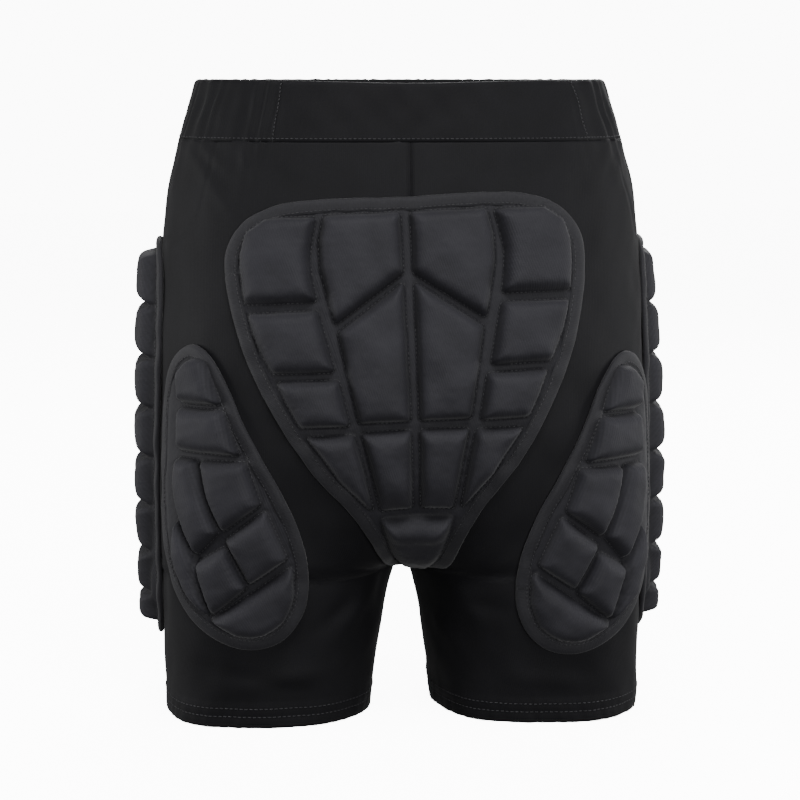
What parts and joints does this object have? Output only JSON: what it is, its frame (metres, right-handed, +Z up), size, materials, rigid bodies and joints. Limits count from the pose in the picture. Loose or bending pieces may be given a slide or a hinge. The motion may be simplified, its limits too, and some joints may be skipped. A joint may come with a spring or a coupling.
{
  "type": "padded impact shorts",
  "caption": "Pull-on padded shorts with foam block impact pads over the seat, hips and thighs, and an elastic waist.",
  "frame": {"origin": "on the floor under the middle of the garment's box, with both leg hems standing on the floor", "axes": "+X to the wearer's right, +Y to the wearer's front, +Z up"},
  "size_m": [0.374, 0.2312, 0.44],
  "materials": {
    "shell_cloth": "matt stretch knit, black",
    "waistband_cloth": "matt stretch knit, black, gathered on its elastic",
    "binding_cloth": "matt folded knit tape, near black",
    "pad_cover": "fine ribbed knit with a faint sheen, charcoal",
    "elastic": "woven elastic, black"
  },
  "bodies": {
    "hips": {"seat_block_long_inner_left": "pad_cover", "seat_block_long_inner_right": "pad_cover", "seat_block_lower_outer_left": "pad_cover", "seat_block_lower_outer_right": "pad_cover", "seat_block_middle_outer_left": "pad_cover", "seat_block_middle_outer_right": "pad_cover", "seat_block_tail": "pad_cover", "seat_block_tail_inner_left": "pad_cover", "seat_block_tail_inner_right": "pad_cover", "seat_block_tail_outer_left": "pad_cover", "seat_block_tail_outer_right": "pad_cover", "seat_block_upper_inner_left": "pad_cover", "seat_block_upper_inner_right": "pad_cover", "seat_block_upper_outer_left": "pad_cover", "seat_block_upper_outer_right": "pad_cover", "seat_pad_backing": "binding_cloth", "shell_hip_left": "shell_cloth", "shell_hip_right": "shell_cloth", "side_block_1_left": "pad_cover", "side_block_1_right": "pad_cover", "side_block_2_left": "pad_cover", "side_block_2_right": "pad_cover", "side_block_3_left": "pad_cover", "side_block_3_right": "pad_cover", "side_pad_backing_left": "binding_cloth", "side_pad_backing_right": "binding_cloth", "waist_elastic": "elastic", "waistband_back": "waistband_cloth", "waistband_casing": "waistband_cloth"},
    "left_leg": {"shell_leg_left": "shell_cloth", "side_block_4_left": "pad_cover", "side_block_5_left": "pad_cover", "side_block_6_left": "pad_cover", "side_block_7_left": "pad_cover", "side_block_8_left": "pad_cover", "thigh_block_bottom_left": "pad_cover", "thigh_block_lower_inner_left": "pad_cover", "thigh_block_lower_outer_left": "pad_cover", "thigh_block_middle_inner_left": "pad_cover", "thigh_block_middle_outer_left": "pad_cover", "thigh_block_outer_edge_left": "pad_cover", "thigh_block_top_left": "pad_cover", "thigh_block_upper_left": "pad_cover", "thigh_pad_backing_left": "binding_cloth"},
    "right_leg": {"shell_leg_right": "shell_cloth", "side_block_4_right": "pad_cover", "side_block_5_right": "pad_cover", "side_block_6_right": "pad_cover", "side_block_7_right": "pad_cover", "side_block_8_right": "pad_cover", "thigh_block_bottom_right": "pad_cover", "thigh_block_lower_inner_right": "pad_cover", "thigh_block_lower_outer_right": "pad_cover", "thigh_block_middle_inner_right": "pad_cover", "thigh_block_middle_outer_right": "pad_cover", "thigh_block_outer_edge_right": "pad_cover", "thigh_block_top_right": "pad_cover", "thigh_block_upper_right": "pad_cover", "thigh_pad_backing_right": "binding_cloth"}
  },
  "joints": [
    {"name": "left_hip_flex", "type": "hinge", "parent": "hips", "child": "left_leg", "pos_m": [-0.09, 0.0057, 0.2], "axis": [1, 0, 0], "range_deg": [-15, 45], "deforming": ["shell_leg_left", "side_pad_backing_left", "side_block_4_left", "side_block_5_left"]},
    {"name": "right_hip_flex", "type": "hinge", "parent": "hips", "child": "right_leg", "pos_m": [0.09, 0.0057, 0.2], "axis": [1, 0, 0], "range_deg": [-15, 45], "deforming": ["shell_leg_right", "side_pad_backing_right", "side_block_4_right", "side_block_5_right"]}
  ]
}
